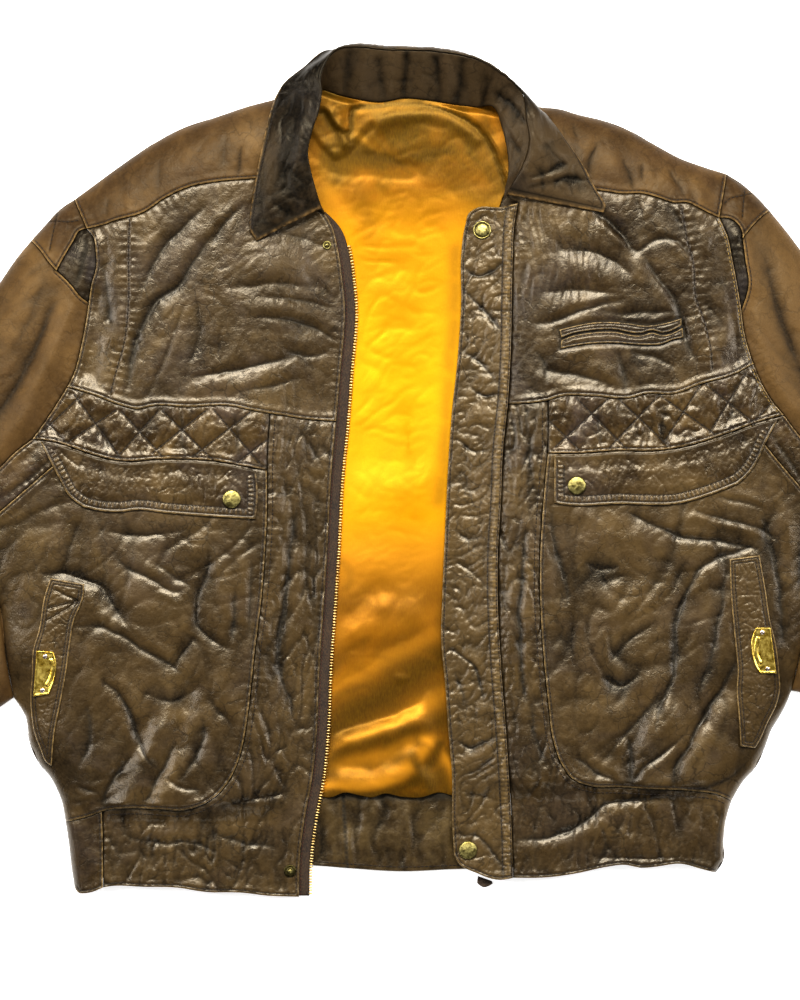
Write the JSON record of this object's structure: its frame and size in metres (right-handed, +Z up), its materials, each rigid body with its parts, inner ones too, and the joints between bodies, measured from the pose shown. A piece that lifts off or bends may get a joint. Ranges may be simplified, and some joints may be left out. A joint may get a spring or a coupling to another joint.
{
  "type": "worn leather jacket laid flat",
  "caption": "Boxy brown leather blouson with a zip and snap placket, flap and welt pockets, quilted bands and a satin lining, lying open on its back.",
  "frame": {"origin": "on the surface it lies on, under the middle of the laid-out garment", "axes": "+Z up from the surface, +Y towards the collar, +X towards the sleeve on the placket side"},
  "size_m": [1.2146, 0.6994, 0.0369],
  "materials": {
    "leather_main": "worn mid-brown nappa leather with fine grain, creases, soft gloss and pale rubbed seam edges",
    "leather_matte": "lighter, drier brown leather, more matte, on yokes and sleeves",
    "leather_collar": "dark brown, nearly black leather with a grey sheen, rubbed pale at the edge",
    "lining_satin": "golden satin with soft ripples",
    "brass_bright": "bright, lightly scratched brass",
    "brass_antique": "antique brass, dark in the recesses",
    "zip_tape": "brown woven zip tape"
  },
  "bodies": {
    "root": {"back_panel": "leather_main", "sleeve_under_l": "leather_matte", "sleeve_under_r": "leather_matte", "back_waistband": "leather_main", "back_lining": "lining_satin", "yoke_l": "leather_matte", "yoke_r": "leather_matte", "front_upper_l": "leather_main", "front_upper_r": "leather_main", "quilt_band_l": "leather_main", "quilt_band_r": "leather_main", "side_gusset_l": "leather_main", "side_gusset_r": "leather_main", "pocket_panel_l": "leather_main", "pocket_panel_r": "leather_main", "front_band_l": "leather_main", "waistband_side_l": "leather_main", "front_band_r": "leather_main", "placket_r": "leather_main", "sleeve_patch_l": "leather_matte", "sleeve_patch_r": "leather_matte", "sleeve_insert_l": "leather_main", "sleeve_insert_r": "leather_main", "sleeve_upper_l": "leather_matte", "sleeve_upper_r": "leather_matte", "cuff_l": "leather_matte", "cuff_r": "leather_matte", "flap_l": "leather_main", "flap_r": "leather_main", "hand_welt_l": "leather_main", "hand_welt_r": "leather_main", "plate_l": "brass_bright", "plate_r": "brass_bright", "rivet_l_top": "brass_bright", "rivet_l_bottom": "brass_bright", "rivet_r_top": "brass_bright", "rivet_r_bottom": "brass_bright", "chest_welt_upper": "leather_main", "chest_welt_lower": "leather_main", "zip_tape_l": "zip_tape", "zip_teeth_l": "brass_bright", "zip_end_r": "zip_tape", "snap_flap_l": "brass_antique", "snap_flap_r": "brass_antique", "snap_placket_top": "brass_antique", "snap_placket_bottom": "brass_antique", "stud_neck_l": "brass_antique", "stud_hem_l": "brass_antique", "collar_fall": "leather_collar", "collar_stand": "leather_collar"}
  },
  "joints": []
}
